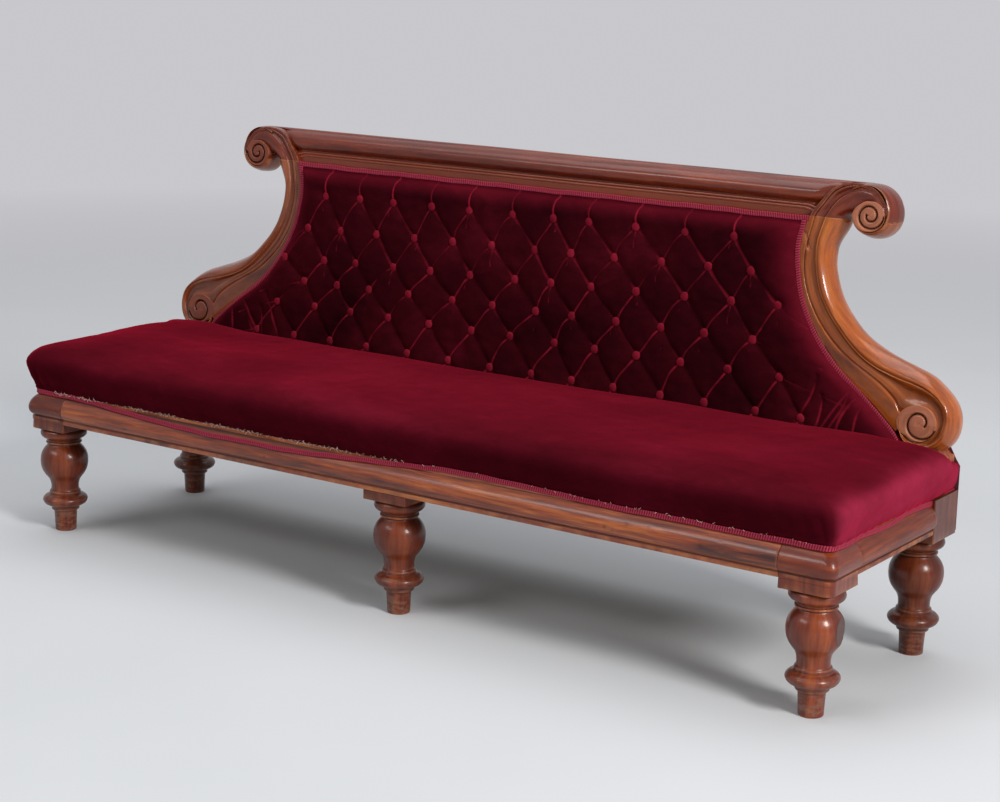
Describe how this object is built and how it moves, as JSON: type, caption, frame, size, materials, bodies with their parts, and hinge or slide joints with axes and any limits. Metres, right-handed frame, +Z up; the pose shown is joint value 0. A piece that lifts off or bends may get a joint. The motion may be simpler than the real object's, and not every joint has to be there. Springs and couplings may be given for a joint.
{
  "type": "billiard seat",
  "caption": "Long upholstered bench with turned legs, moulded show rails, scroll arms, a raked buttoned back and a moulded crest rail that ends in scrolls",
  "frame": {"origin": "on the floor, at the middle of the overall length and depth", "axes": "+X along the length, to the right of someone who faces the bench; +Y towards the back; +Z up; the sitter faces -Y"},
  "size_m": [2.3996, 0.7148, 1.055],
  "materials": {
    "mahogany": "polished dark red brown",
    "mahogany_arm": "polished orange brown",
    "beech": "bare sawn",
    "velvet": "crimson pile",
    "gimp": "woven braid, faded rose red",
    "hessian": "open plain weave",
    "webbing": "jute herringbone",
    "hair": "loose curled fibre",
    "spring_steel": "lacquered wire",
    "brass": "dull"
  },
  "bodies": {
    "root": {"front_seat_rail": "mahogany", "rear_seat_rail": "beech", "side_rail_left": "mahogany", "side_rail_right": "mahogany", "front_leg_left": "mahogany", "front_leg_right": "mahogany", "front_middle_leg": "mahogany", "rear_leg_left": "mahogany", "rear_leg_right": "mahogany", "seat_stretcher_left": "beech", "seat_stretcher_right": "beech", "corner_block_front_left": "beech", "corner_block_front_right": "beech", "corner_block_rear_left": "beech", "corner_block_rear_right": "beech", "lower_back_rail": "beech", "back_upright_left": "beech", "back_upright_right": "beech", "crest_rail": "mahogany", "scroll_block_left": "mahogany", "scroll_block_right": "mahogany", "scroll_arm_left": "mahogany_arm", "scroll_arm_right": "mahogany_arm", "arm_screw_left": "brass", "arm_screw_right": "brass", "middle_leg_screw_left": "brass", "middle_leg_screw_right": "brass", "dowel_left": "beech", "dowel_right": "beech", "seat_webbing": "webbing", "seat_spring_01": "spring_steel", "seat_spring_02": "spring_steel", "seat_spring_03": "spring_steel", "seat_spring_04": "spring_steel", "seat_spring_05": "spring_steel", "seat_spring_06": "spring_steel", "seat_spring_07": "spring_steel", "seat_spring_08": "spring_steel", "seat_spring_09": "spring_steel", "seat_spring_10": "spring_steel", "seat_spring_11": "spring_steel", "seat_spring_12": "spring_steel", "seat_spring_13": "spring_steel", "seat_spring_14": "spring_steel", "seat_hessian": "hessian", "seat_stuffing": "hair", "seat_cover": "velvet", "seat_gimp_front": "gimp", "seat_gimp_left": "gimp", "seat_gimp_right": "gimp", "back_webbing": "webbing", "back_hessian": "hessian", "back_stuffing": "hair", "back_cover": "velvet", "back_gimp_left": "gimp", "back_gimp_right": "gimp", "back_gimp_top": "gimp", "outside_back_cloth": "velvet"}
  },
  "joints": []
}
